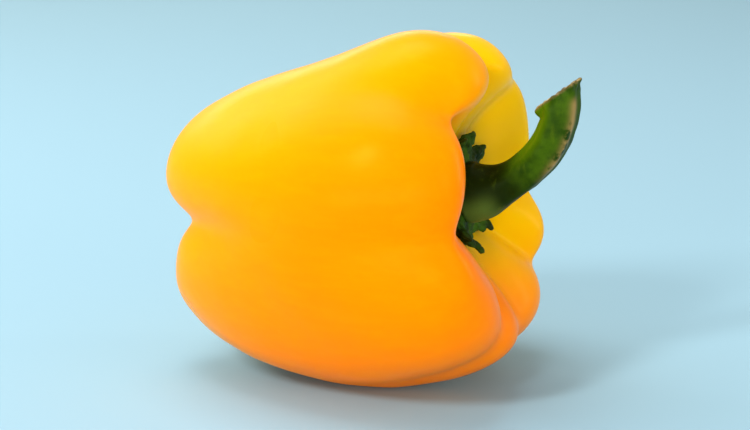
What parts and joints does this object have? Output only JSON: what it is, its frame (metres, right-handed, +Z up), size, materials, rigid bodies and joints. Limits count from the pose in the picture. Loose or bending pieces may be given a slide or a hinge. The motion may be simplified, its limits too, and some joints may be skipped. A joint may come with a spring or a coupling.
{
  "type": "bell pepper",
  "caption": "Ripe yellow bell pepper lying on its side, with deep lobes, a green calyx in the stem cavity and a thick upturned cut stem.",
  "frame": {"origin": "on the surface that the pepper rests on, under the middle of its bounding box", "axes": "+X from the blossom end towards the stem end, +Z up"},
  "size_m": [0.1018, 0.0842, 0.0899],
  "materials": {
    "skin": "glossy waxy skin, lemon yellow to orange",
    "calyx": "dark green, bumpy and matt",
    "stem": "green, ribbed, semi-matt, with a dry brown cut"
  },
  "bodies": {
    "root": {"fruit": "skin", "calyx": "calyx", "stem": "stem"}
  },
  "joints": []
}
